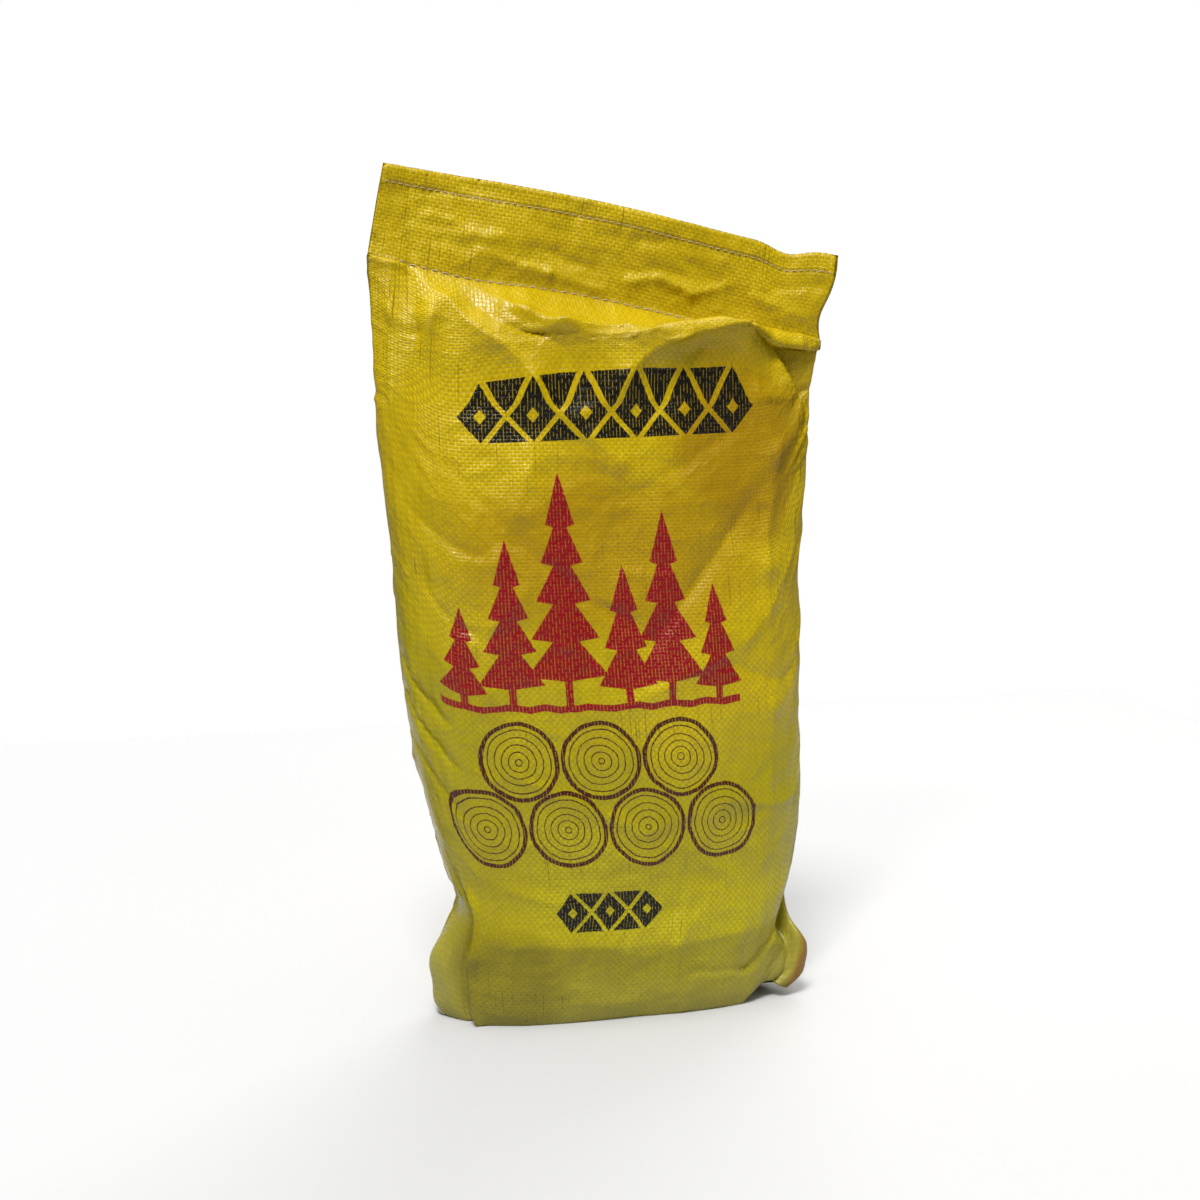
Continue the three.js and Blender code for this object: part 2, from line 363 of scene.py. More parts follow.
# The lip at the right end: a pleat of spare cloth that hangs in front of the closing seam. By share
# of its cloth, from below: how far forward, and how far above the line from its foot to the seam.
# Along it, by U: how far forward it stands at most.
LIP_FOOT_V = 0.700
LIP_FOOT_DEPTH = 0.45  # the foot's depth beside that of the shoulder below it
LIP_START_V = SHOULDER_LEVEL + 0.03
LIP_EDGE = np.array([129, 632.5]) * MM
LIP_FALL = 0.06
LIP_RISE = 9 * MM
LIP_PLACES = np.array([0.33, 0.36, 0.385, 0.415, 0.44, 0.46])
LIP_REACH = np.array([17, 17, 15, 10, 3, 0]) * MM
LIP_SHARES = np.array([0, 0.18, 0.34, 0.50, 0.68, 0.84, 1.0])
LIP_FORWARD = np.array([0, 0.75, 1.0, 0.9, 0.55, 0.2, 0])
LIP_ABOVE = np.array([0, -0.1, 0.15, 0.6, 1.0, 0.8, 0])


def lip_level(x):
    """The height of the lip's lower edge, which falls slightly to the right."""
    return LIP_EDGE[1] - LIP_FALL * (x - LIP_EDGE[0])


def with_lip(points, columns_u, rows_v, low_v):
    """Gathers the cloth at the shoulder's right end into the lip: below the lip's foot the rows
    are spaced evenly up to its lower edge, and above it they go forwards, curl up and come
    back down to the seam."""
    v = rows_v[:, None]
    u = columns_u[None, :]
    front = u <= FACE_WIDTH
    round_the_fold = 1 - ease(u, FACE_WIDTH, FACE_WIDTH + 0.04)
    strength = ease(u, 0.345, 0.385) * np.where(front, 1.0, round_the_fold)
    seam = points[np.searchsorted(rows_v, SEAM_V + 1e-6)]
    start = points[np.searchsorted(rows_v, LIP_START_V)]
    foot = lip_level(points[..., 0])
    below = np.clip((v - low_v) / (LIP_FOOT_V - low_v), 0, 1)
    above = np.clip((v - LIP_FOOT_V) / (SEAM_V - LIP_FOOT_V), 0, 1)
    under_foot = v < LIP_FOOT_V
    low_level = SHOULDER_LEVEL + (foot - SHOULDER_LEVEL) * below
    level = np.where(under_foot, low_level, foot + (seam[:, 2] - foot) * above)
    low_depth = start[:, 1] * (1 - (1 - LIP_FOOT_DEPTH) * below)
    depth = np.where(under_foot, low_depth, start[:, 1] * LIP_FOOT_DEPTH * (1 - above))
    forward = np.interp(u, LIP_PLACES, LIP_REACH)
    level = level + LIP_RISE * smooth_through(above, LIP_SHARES, LIP_ABOVE) * (above > 0) * front
    depth = depth - forward * smooth_through(above, LIP_SHARES, LIP_FORWARD) * (above > 0)
    strength = strength * (v > low_v) * (v < SEAM_V)
    points[..., 2] += strength * (level - points[..., 2])
    points[..., 1] += strength * (depth - points[..., 1])
    return points


# The wedge beside the right fold where the faces are pressed together: its width by height.
FIN_LEVELS = np.array([520, 546, 582, 631]) * MM
FIN_WIDTHS = np.array([0, 11, 26, 56]) * MM
FIN_HALF_THICKNESS = 1.2 * MM


def with_fin(points, columns_u, rows_v):
    """Presses the two faces together beside the right fold, in a wedge that widens upwards and
    ends at the lip."""
    from_fold = np.abs(columns_u - FACE_WIDTH)[None, :]
    height = points[..., 2]
    width = np.interp(height, FIN_LEVELS, FIN_WIDTHS)
    pressed = (1 - ease(from_fold, width - 5 * MM, width + 1 * MM)) * (rows_v[:, None] < LIP_FOOT_V)
    pressed = pressed * ease(height, FIN_LEVELS[0], FIN_LEVELS[0] + 30 * MM)
    thin = FIN_HALF_THICKNESS * facing(columns_u) * ease(from_fold, 0, 0.01)
    points[..., 1] += pressed * (thin - points[..., 1])
    return points


# The right bottom corner: how far it comes forwards and how far its tip lifts off the floor, and
# the pocket between it and the front face, by its place and size.
EAR_FORWARD = 34 * MM
EAR_LIFT = 20 * MM
POCKET_FROM_FOLD = 32 * MM
POCKET_LEVEL = 78 * MM
POCKET_DEPTH = 34 * MM
POCKET_DRAW = 10 * MM


def with_right_ear(points, columns_u):
    """Draws the right bottom corner forwards beside the front face, with a pocket between the
    two, and lifts the corner off the floor."""
    from_fold = np.abs(columns_u - FACE_WIDTH)[None, :]
    height = points[..., 2]
    front = columns_u < FACE_WIDTH
    drawn = hump(from_fold, 0, 0.042) * (1 - ease(height, 48 * MM, 104 * MM))
    points[..., 1] -= EAR_FORWARD * drawn
    points[..., 0] += MM * drawn * (1 - 6 * ease(height, 45 * MM, 80 * MM))
    lifted = np.where(front, 1 - ease(from_fold, 0.045, 0.088), 1 - ease(from_fold, 0, 0.05))
    lifted = lifted * (0.5 + 0.5 * ease(from_fold, 0.01, 0.06))
    points[..., 0] += 3 * MM * hump(from_fold, 0, 0.03) * (1 - ease(height, 30 * MM, 60 * MM))
    points[..., 2] += EAR_LIFT * lifted * np.clip(1 - height / (75 * MM), 0, 1)
    pocket = hump(from_fold, POCKET_FROM_FOLD, 0.012) * hump(height, POCKET_LEVEL, 24 * MM) * front
    points[..., 1] += POCKET_DEPTH * pocket
    points[..., 0] -= POCKET_DRAW * pocket
    return points


def surface_normals(points):
    """Outward unit normals of the closed grid, from the cross product of its two central
    differences."""
    round_tube = np.roll(points, -1, axis=1) - np.roll(points, 1, axis=1)
    up_tube = np.gradient(points, axis=0)
    return unit(np.cross(round_tube, up_tube))


# Creases pressed and crumpled into the front: from (u, v), to (u, v), height, and how far each
# reaches to the right and to the left of the way it runs, all in mm. A height above 0 is a ridge.
CREASES = [
    (36, 762, 41, 690, -4.6, 2.5, 5),
    (41, 690, 41, 470, -4.2, 2.5, 5),
    (41, 470, 40, 240, -3.4, 2.5, 5),
    (20, 758, 21, 700, 6.0, 10, 8),
    (22, 700, 24, 300, 4.6, 9, 8),
    (107, 750, 113, 640, -1.0, 2, 3),
    (70, 735, 150, 652, 7.0, 12, 9),
    (150, 652, 222, 590, 6.0, 12, 9),
    (98, 742, 150, 700, -4.5, 10, 7),
    (150, 700, 190, 655, -3.5, 12, 8),
    (108, 752, 135, 738, 5.0, 5, 14),
    (135, 738, 172, 719, 8.0, 6, 18),
    (172, 719, 232, 730, 7.0, 8, 16),
    (322, 704, 281, 690, 6.0, 22, 9),
    (281, 690, 232, 652, 7.5, 20, 11),
    (232, 652, 200, 634, 4.5, 16, 12),
    (302, 674, 255, 630, -4.0, 20, 12),
    (364, 640, 379, 588, 5.5, 12, 20),
    (379, 588, 364, 487, 4.5, 11, 22),
    (364, 487, 366, 354, 3.6, 12, 22),
    (366, 354, 350, 206, 3.2, 12, 22),
    (12, 351, 44, 346, -4.0, 4, 6),
    (10, 316, 50, 306, -4.4, 3.5, 7),
    (8, 272, 46, 262, -2.4, 3, 6),
    (49, 453, 84, 434, -3.2, 3.5, 8),
    (52, 519, 92, 505, -3.0, 3.5, 8),
    (339, 419, 394, 477, 3.4, 8, 14),
    (60, 400, 130, 470, 3.0, 9, 12),
    (70, 585, 128, 520, -2.8, 6, 12),
    (228, 372, 300, 402, 2.4, 8, 12),
    (290, 470, 350, 545, -5.0, 16, 16),
    (120, 520, 250, 425, -3.2, 14, 10),
    (250, 425, 330, 520, -3.4, 12, 14),
    (150, 600, 108, 500, 3.0, 10, 12),
    (108, 500, 96, 380, 2.4, 10, 12),
    (312, 270, 390, 256, 3.2, 5, 11),
    (330, 395, 392, 372, -2.4, 5, 8),
    (120, 300, 205, 258, 2.2, 8, 10),
    (66, 147, 150, 144, 3.8, 14, 26),
    (150, 144, 260, 140, 4.2, 16, 26),
    (260, 140, 352, 145, 3.8, 16, 26),
    (290, 106, 345, 101, -3.0, 2.2, 5),
    (345, 101, 384, 124, -3.4, 2.2, 5),
    (60, 205, 150, 176, 2.4, 7, 10),
    (57, 56, 58, 128, 9.0, 8, 5),
    (58, 128, 46, 168, 7.0, 8, 5),
    (46, 58, 45, 128, -8.0, 4, 5),
    (45, 128, 33, 162, -6.0, 4, 5),
    (409, 62, 403, 34, -5.0, 4, 4),
    (403, 34, 395, 20, -4.0, 4, 4),
    (380, 112, 402, 84, 4.0, 6, 8),
    (240, 560, 330, 612, -3.2, 14, 12),
]

# Long creases in the flap, in the same terms, with one reach.
FLAP_CREASES = [
    (24, 850, 38, 768, -2.2, 3),
    (62, 812, 105, 800, 3.2, 4),
    (75, 800, 118, 806, 2.2, 3),
    (98, 790, 165, 779, 3.8, 5),
    (165, 779, 215, 772, 2.7, 4),
    (150, 800, 205, 790, -3, 6),
    (236, 784, 268, 796, 3, 4),
    (268, 796, 300, 788, 3.5, 4),
    (300, 788, 338, 806, 3.2, 4),
    (190, 836, 216, 804, -2.4, 5),
    (330, 826, 366, 800, 1.9, 6),
    (360, 800, 425, 792, 2.7, 4),
    (380, 815, 430, 822, -2.2, 4),
    (352, 770, 362, 838, -1.4, 2),
]


def rear_creases(count=26, seed=71):
    """Creases scattered over the rear at random, in the same terms: mostly aslant, some pressed
    in and some standing out."""
    dice = np.random.default_rng(seed)
    start = dice.uniform((480, 110), (830, 690), (count, 2))
    turn = dice.uniform(-1.2, 1.2, count) + np.pi * (dice.random(count) < 0.5)
    end = start + dice.uniform(50, 150, count)[:, None] * np.stack([np.cos(turn), np.sin(turn)], -1)
    height = dice.uniform(1.6, 4.6, count) * np.where(dice.random(count) < 0.4, -1, 1)
    reach = dice.uniform(6, 16, (count, 2))
    return np.concatenate([start, end, height[:, None], reach], axis=1)


def crease_relief(u, v):
    """The summed height of the creases. Each falls away from its line as an exponential, with a
    different reach on each side, and tapers at its ends."""
    relief = np.zeros_like(u)
    for u0, v0, u1, v1, height, reach_low, reach_high in [*CREASES, *rear_creases()]:
        du, dv = (u1 - u0) * MM, (v1 - v0) * MM
        length = math.hypot(du, dv)
        along = ((u - u0 * MM) * du + (v - v0 * MM) * dv) / length
        across = ((v - v0 * MM) * du - (u - u0 * MM) * dv) / length
        reach = np.where(across > 0, reach_high, reach_low) * MM
        beyond = np.maximum(np.maximum(-along, along - length), 0)
        relief += height * MM * np.exp(-np.abs(across) / reach - (beyond / (12 * MM)) ** 2)
    return relief


# Crumples: height in millimetres, what is added beside the folds, cells round the tube, how far
# they are stretched upwards, and seed.
CRUMPLES = ((1.6, 0, 16, 1.3, 42), (0.85, 0.10, 32, 0.9, 45), (0.22, -0.132, 64, 0.8, 48))


def cloth_relief(columns_u, rows_v):
    """All that stands out of the smooth stuffed shape: broad dents, crumples of three sizes,
    puckers by the closing seam and the creases."""
    u, v = np.meshgrid(columns_u, rows_v)
    edge = hump(fold_distance(columns_u)[None, :], 0, 0.09)
    turn = u / (2 * FACE_WIDTH)
    patchy = 0.55 + 0.45 * noise(turn * 8, v / 0.11, 51, 8)
    foot = 1 - 0.8 * hump(v, 0, 0.09)
    relief = 2.6 * noise(turn * 8, v / 0.13, 41, 8)
    for height, by_fold, cells, lean, seed in CRUMPLES:
        relief += (height + by_fold * edge) * patchy * crumple(u, v, cells, lean, seed)
    by_seam = np.exp(-np.maximum(SEAM_V - v, 0) / 0.022)
    relief += 1.5 * by_seam * (1 - 2.4 * np.abs(noise(turn * 48, v / 0.09, 55, 48)))
    relief *= MM * foot * (1 - ease(v, SEAM_V - 0.004, SEAM_V))
    return relief + crease_relief(u, v) * (1 - ease(v, SEAM_V - 0.002, SEAM_V + 0.001))


# The settling: its links, by how many rows up their far end is and how many columns on their far
# and near ends are, and the passes, by stride over the grid and number of rounds. A round takes
# away a share of each link's error. Links between neighbours pull and push, and longer ones only
# push, so that the cloth resists being folded.
NEIGHBOURS = ((0, 1, 0), (1, 0, 0), (1, 1, 0), (1, 0, 1))
TWO_APART = ((2, 0, 0), (0, 2, 0))
PULL = 0.22
STIFFNESS = 0.04
LEAST_SHRINK = 0.998
PASSES = ((4, 160), (2, 90), (1, 40))


def link(points, up, far_on, near_on):
    """The vectors from each link's near end to its far end, and their lengths."""
    far, near = (np.roll(points, -on, axis=1) for on in (far_on, near_on))
    apart = far[up:] - near[: len(points) - up]
    return apart, np.linalg.norm(apart, axis=-1)


def settle(points, goal, widths, step_v, slack, hold, rounds):
    """Position-based settling of the cloth. In each round every pair of neighbours, along, across
    and over both diagonals, is moved towards its own flat distance, pairs two apart resist
    being folded, and each point is drawn back to its goal by its share in hold. A pair's
    distance is its flat one, kept between its distance on the goal and that plus its slack."""
    rest = {}
    for up, far_on, near_on in NEIGHBOURS:
        long = link(goal, up, far_on, near_on)[1]
        flat = np.hypot(widths * (far_on + near_on), step_v * up)
        rest[up, far_on, near_on] = np.clip(flat, long * LEAST_SHRINK, long * (1 + slack[up:]))
    for ends in TWO_APART:
        rest[ends] = link(goal, *ends)[1]
    for _ in range(rounds):
        moved = np.zeros_like(points)
        for (up, far_on, near_on), wanted in rest.items():
            apart, long = link(points, up, far_on, near_on)
            error = 1 - wanted / np.maximum(long, 1e-9)
            if (up, far_on, near_on) in TWO_APART:
                share = STIFFNESS * np.minimum(error, 0)
            else:
                share = PULL * error
            push = apart * share[..., None]
            moved[: len(points) - up] += np.roll(push, near_on, axis=1)
            moved[up:] -= np.roll(push, far_on, axis=1)
        points = points + moved
        points += (goal - points) * hold[..., None]
    return points


def column_places():
    """Where the columns stand round the tube, closer together on the front."""
    front = np.linspace(0, FACE_WIDTH, FRONT_COLUMNS, endpoint=False)
    rear = FACE_WIDTH + np.linspace(0, FACE_WIDTH, REAR_COLUMNS, endpoint=False)
    return np.concatenate([front, rear])


def slack_and_hold(columns_u, rows_v):
    """For each point, the share by which its cloth may be longer than on the goal, most under the
    seam and at the bottom corners, and the share by which a round draws it back to the goal,
    which is all of the way under the base and in the flap."""
    near = fold_distance(columns_u)[None, :]
    v = rows_v[:, None]
    by_seam, by_corner = hump(v, SEAM_V - 0.05, 0.06), hump(v, 0.09, 0.06) * hump(near, 0, 0.1)
    slack = 0.008 + 0.02 * by_seam + 0.03 * by_corner
    held = np.maximum(1 - ease(v, 0.05, 0.075), ease(v, SEAM_V - 0.012, SEAM_V))
    return slack, np.maximum(np.full(slack.shape, 0.06), held)


def settled_cloth(crumpling):
    """The settled sack on its full grid, from a coarse pass, a middling pass and a fine one. Each
    pass starts from the last one's moves away from the goal."""
    all_columns, all_rows = column_places(), np.linspace(0, MOUTH_V, ROWS + 1)
    moves = None
    for stride, rounds in PASSES:
        columns_u, rows_v = all_columns[::stride], all_rows[::stride]
        goal = goal_shape(columns_u, rows_v)
        goal += surface_normals(goal) * crumpling * cloth_relief(columns_u, rows_v)[..., None]
        goal[..., 2] = np.maximum(goal[..., 2], 0)
        widths = np.diff(np.append(columns_u, 2 * FACE_WIDTH))
        slack, hold = slack_and_hold(columns_u, rows_v)
        points = goal if moves is None else goal + finer(moves, goal.shape)
        points = settle(points, goal, widths, rows_v[1], slack, hold, rounds)
        points[..., 2] = np.maximum(points[..., 2], 0)
        moves = points - goal
    return points


def finer(moves, shape):
    """Moves on a grid of twice as many rows and columns, the new ones half way between their
    neighbours."""
    wide = np.empty((moves.shape[0], shape[1], 3))
    wide[:, ::2] = moves
    wide[:, 1::2] = (moves + np.roll(moves, -1, axis=1)) / 2
    made = np.empty(shape)
    made[::2] = wide
    made[1::2] = (wide[:-1] + wide[1:]) / 2
    return made


def with_hem(points):
    """The mouth's edge turned in: more rows, which run back down close inside the cloth."""
    inside = points - HEM_INSET * surface_normals(points)
    back = ROWS - HEM_TURN / MOUTH_V * ROWS * HEM_SHARES
    low = back.astype(int)
    share = (back - low)[:, None, None]
    return np.concatenate([points, inside[low] * (1 - share) + inside[low + 1] * share])


def closed_grid_faces(rows, columns):
    """Quads between neighbouring rows and columns of a tube."""
    j, i = np.meshgrid(np.arange(rows - 1), np.arange(columns), indexing="ij")
    k = (i + 1) % columns
    low, high = j * columns, (j + 1) * columns
    return np.stack([low + i, low + k, high + k, high + i], -1).reshape(-1, 4)


def mesh_object(name, points, faces, uv=None):
    """A smooth-shaded object at the origin from arrays of points, of faces and, for each corner,
    of UV places."""
    mesh = bpy.data.meshes.new(name)
    mesh.from_pydata(points.reshape(-1, 3).tolist(), [], faces.tolist())
    mesh.polygons.foreach_set("use_smooth", np.ones(len(faces), bool))
    if uv is not None:
        layer = mesh.uv_layers.new(name="flat_cloth")
        layer.uv.foreach_set("vector", uv.astype(np.float32).ravel())
    mesh.update()
    made = bpy.data.objects.new(name, mesh)
    bpy.context.scene.collection.objects.link(made)
    return made


# Materials


class Wire:
    """A value in a material's node tree. Arithmetic on wires and numbers adds the Math nodes for
    it."""

    def __init__(self, tree, socket):
        self.tree = tree
        self.socket = socket

    def math(self, operation, *others):
        """This value and others through one Math node."""
        return node(self.tree, "ShaderNodeMath", {"operation": operation}, (self, *others))

    def __add__(self, other):
        return self.math("ADD", other)

    def __sub__(self, other):
        return self.math("SUBTRACT", other)

    def __mul__(self, other):
        return self.math("MULTIPLY", other)

    def __truediv__(self, other):
        return self.math("DIVIDE", other)

    def __pow__(self, other):
        return self.math("POWER", other)

    def __rsub__(self, other):
        return node(self.tree, "ShaderNodeMath", {"operation": "SUBTRACT"}, (other, self))

    def __abs__(self):
        return self.math("ABSOLUTE")

    __radd__ = __add__
    __rmul__ = __mul__

    def above(self, edge, softness):
        """0 to 1 as the value rises past edge, over softness to each side."""
        inputs = (self, edge - softness, edge + softness, 0.0, 1.0)
        return node(self.tree, "ShaderNodeMapRange", {"interpolation_type": "SMOOTHSTEP"}, inputs)


def node(tree, kind, settings=None, inputs=(), output=0):
    """Adds a node: its settings first, then a number, colour or wire for each of its inputs in
    order or by name. Returns the output as a wire."""
    made = tree.nodes.new(kind)
    for key, value in (settings or {}).items():
        setattr(made, key, value)
    named = inputs.items() if isinstance(inputs, dict) else enumerate(inputs)
    for key, value in named:
        if isinstance(value, Wire):
            tree.links.new(value.socket, made.inputs[key])
        elif value is not None:
            made.inputs[key].default_value = value
    return Wire(tree, made.outputs[output])


def blend(tree, share, low, high):
    """A colour between low and high."""
    colours = [c if isinstance(c, Wire) else (*c, 1.0) for c in (low, high)]
    return node(tree, "ShaderNodeMix", {"data_type": "RGBA"}, {0: share, 6: colours[0], 7: colours[1]}, 2)


def fresh_material(name, constants):
    """A material with one Principled shader, with its constant sockets set. Returns the material,
    its tree and the shader."""
    made = bpy.data.materials.new(name)
    made.use_nodes = True
    shader = made.node_tree.nodes["Principled BSDF"]
    for key, value in constants.items():
        shader.inputs[key].default_value = value
    return made, made.node_tree, shader


def join(shader, wires):
    """Links wires to the shader's sockets, by name."""
    for name, wire in wires.items():
        wire.tree.links.new(wire.socket, shader.inputs[name])


def cloth_places(tree):
    """U and V of the flat cloth, in millimetres, as two wires."""
    uv = node(tree, "ShaderNodeUVMap", {"uv_map": "flat_cloth"})
    split = node(tree, "ShaderNodeSeparateXYZ", None, (uv,))
    upright = Wire(tree, split.socket.node.outputs[1])
    return uv, split * 1000.0, upright * 1000.0


def woven_relief(u, v):
    """The weave as a height from 0 to 1, and which tape is on top as a value from -1 to 1. The
    product of two sine waves changes sign from each crossing to the next, as the tapes do."""
    pitch = TAPE_PITCH / MM
    wave_u = (u * (math.pi / pitch)).math("SINE")
    wave_v = (v * (math.pi / pitch)).math("SINE")
    top = wave_u * wave_v
    across, along = 0.7, 0.25  # a tape is rounder across its run than along it
    upright = (abs(wave_u) ** across) * (abs(wave_v) ** along)
    level = (abs(wave_v) ** across) * (abs(wave_u) ** along)
    warp_on_top = top.above(0.0, 0.12)
    relief = upright * warp_on_top + level * (1 - warp_on_top)
    return relief, top, wave_u


def union(first, *others):
    """The highest of the masks at each place."""
    made = first
    for other in others:
        made = made.math("MAXIMUM", other)
    return made


def diamond(u, v, cu, cv, half_u, half_v):
    """1 at a diamond's middle, 0 at its edge and below 0 outside."""
    return 1 - abs(u - cu) / half_u - abs(v - cv) / half_v


# The print's motifs, in millimetres on the cloth: the trees, by middle, height, half width and
# number of tiers, the rows of log ends, by level and number, and the two rows of diamonds.
TREE_FOOT = 368
TRUNK_HALF_WIDTH = 3.4
LOWEST_TIER = 0.11
TREES = (
    (72, 90, 24, 3),
    (116, 152, 33, 4),
    (167, 214, 41, 5),
    (222, 128, 30, 3),
    (262, 176, 36, 4),
    (309, 108, 26, 3),
)
LOG_ROWS = ((254, 4), (318, 3))
LOG_FIRST_U = 77
LOG_PITCH = 75.5
LOG_RADIUS = 37.5
UPPER_FRIEZE = {"middle": 218, "level": 633, "half_width": 20.5, "half_height": 23.5, "count": 6}
UPPER_FRIEZE_SLOPE = 0.033
LOWER_FRIEZE = {"middle": 185, "level": 175, "half_width": 16.5, "half_height": 18.0, "count": 3}


def fir(u, v, middle, height, half_width, tiers):
    """Ink of one fir tree: tiers of overlapping triangles, each drawn in at its lower edge, on a
    short trunk."""
    away = abs(u - middle)
    rise = (v - TREE_FOOT) / height
    trunk = (TRUNK_HALF_WIDTH - away).above(0.0, 0.25)
    parts = [trunk * rise.above(0.0, 0.004) * (1 - rise.above(0.3, 0.004))]
    for k in range(tiers):
        low = LOWEST_TIER + 0.80 * k / tiers
        top = min(1.0, low + 1.35 * (1 - LOWEST_TIER) / tiers)
        width = half_width * (1 - 0.80 * k / tiers)
        share = (rise - low) / (top - low)
        side = (1 - share) * width
        hem = share - (away / width) * 0.10
        parts.append((side - away).above(0.0, 0.3) * hem.above(0.0, 0.01))
    return union(*parts)


def log_ends(u, v, wobble):
    """Ink of round log ends in two lines: a bark ring, an inner ring and thin growth rings, a
    little out of round."""
    nearest = None
    for row, (level, count) in enumerate(LOG_ROWS):
        for k in range(count):
            du = u - (LOG_FIRST_U + LOG_PITCH * (k + row / 2))
            dv = v - level
            far = (du * du + dv * dv) ** 0.5
            nearest = far if nearest is None else nearest.math("MINIMUM", far)
    far = nearest + wobble * 2.4
    bark = 1 - abs(far - (LOG_RADIUS - 2.6)).above(2.0, 0.3)
    inner = 1 - abs(far - (LOG_RADIUS - 8.2)).above(0.6, 0.25)
    growth = 1 - abs((far / 6.3).math("FRACT") - 0.5).above(0.085, 0.035)
    return union(bark, inner, growth * (1 - far.above(LOG_RADIUS - 12, 0.5)))


def flat_noise(tree, place, scale, detail=2.0, stretch=None):
    """A noise over the flat cloth, about 0.5 in the middle. stretch squeezes it along U and V."""
    if stretch is not None:
        place = node(tree, "ShaderNodeVectorMath", {"operation": "MULTIPLY"}, (place, (*stretch, 1.0)))
    inputs = {"Vector": place, "Scale": scale, "Detail": detail}
    return node(tree, "ShaderNodeTexNoise", {"noise_dimensions": "2D"}, inputs)


def frieze(u, v, middle, level, half_width, half_height, count):
    """Ink of a row of bold diamonds, each with a small hole, and of the half diamonds above and
    below between them."""
    marks = []
    pitch = 2.3 * half_width
    for k in range(count):
        centre = middle + (k - (count - 1) / 2) * pitch
        shape = diamond(u, v, centre, level, half_width, half_height)
        marks.append(shape.above(0.0, 0.012) * (1 - shape.above(0.72, 0.02)))
    for k in range(count - 1):
        centre = middle + (k - (count - 2) / 2) * pitch
        for end in (-1, 1):
            tip = level + end * half_height
            shape = diamond(u, v, centre, tip, 0.86 * half_width, 0.86 * half_height)
            inside = ((level - v) * end).above(-half_height, 0.3)
            marks.append(shape.above(0.0, 0.012) * inside)
    return union(*marks)


def inks(u, v, soft, fine):
    """Masks of the three inks: crimson trees on their wavy ground, brown log ends and black rows
    of diamonds. The fine noise roughens their edges and the soft one bends the rest."""
    rough_u, rough_v = u + (fine - 0.5) * 0.9, v + (fine - 0.5) * 0.9
    trees = union(*(fir(rough_u, rough_v, *tree) for tree in TREES))
    ground = (v - 366) / 5 - abs(((u + soft * 30) / 37).math("FRACT") - 0.5)
    ground = (1 - abs(ground)).above(0.35, 0.05) * (1 - abs(u - 190).above(140, 0.4))
    sloped_v = rough_v - (u - UPPER_FRIEZE["middle"]) * UPPER_FRIEZE_SLOPE
    black = union(frieze(rough_u, sloped_v, **UPPER_FRIEZE), frieze(rough_u, rough_v, **LOWER_FRIEZE))
    return union(trees, ground), log_ends(rough_u, rough_v, soft * 2), black


# Marks on the cloth, each by its strength, colour, and middle and half size on the cloth in millimetres:
# patches of painted shade, spots of painted shadow, dust with a painted sheen, split tapes and grooves.
PAINTED_SHADE_PATCHES = ((0.6, (215, 505, 135, 75)), (0.75, (345, 590, 70, 75)))
# Painted shadow: a darker patch at the left of the foot, and one under the right ear's tip.
PAINTED_SHADOWS = (
    (0.45, (0.10, 0.075, 0.004), (85, 100, 60, 50)),
    (0.8, (0.20, 0.075, 0.008), (432, 30, 16, 22)),
)
# Grey towards the floor: dust, with a painted sheen of the floor's light.
DUST_AND_SHEEN = (0.20, 0.20, 0.085)
SPLIT_TAPE = (0.10, 0.06, 0.002)
# Colour of the sewing grooves: their needle holes and painted shade.
GROOVE_HOLES_AND_SHADE = (0.16, 0.10, 0.002)


def cloth_colour_with_painted_light(tree, sack, u, v, tape, broad, soft):
    """The tapes' colour before the print: paler and greener towards the foot, a painted tint of bluish
    light, painted shade across the upper middle, painted shadow at the left of the foot and under
    the right ear, and greyer where it meets the floor, from dust and a painted sheen."""
    drift = (broad - 0.5) * 260 + soft * 60

    def patch_at(cu, cv, half_u, half_v):
        """1 within a ragged oval on the cloth, and 0 outside."""
        du, dv = (u - cu) / half_u, (v + drift * 0.25 - cv) / half_v
        return (1 - (du * du + dv * dv)).above(0.0, 0.7)

    colour = blend(tree, tape, sack.cloth_dark, sack.cloth_light)
    # Painted light: the tapes turn greener towards the foot, a painted tint of bluish light from below.
    painted_foot_light = blend(tree, tape, sack.foot_painted_light_dark, sack.foot_painted_light_pale)
    lower = 1 - (v + drift + 0.25 * u).above(440.0, 150.0)
    colour = blend(tree, 0.9 * lower, colour, painted_foot_light)
    # Painted shade across the upper middle, below the bulge and under the lip.
    painted_shade = union(*(share * patch_at(*place) for share, place in PAINTED_SHADE_PATCHES))
    colour = blend(tree, painted_shade, colour, sack.painted_shade_colour)
    # Greyer where the cloth meets the floor, from dust and a painted sheen.
    dust_and_sheen = 1 - (v + drift * 0.3).above(80.0, 60.0)
    colour = blend(tree, 0.42 * dust_and_sheen, colour, DUST_AND_SHEEN)
    # Painted shadow at the left of the foot and under the right ear.
    for share, shadow_colour, place in PAINTED_SHADOWS:
        colour = blend(tree, share * patch_at(*place), colour, shadow_colour)
    return colour


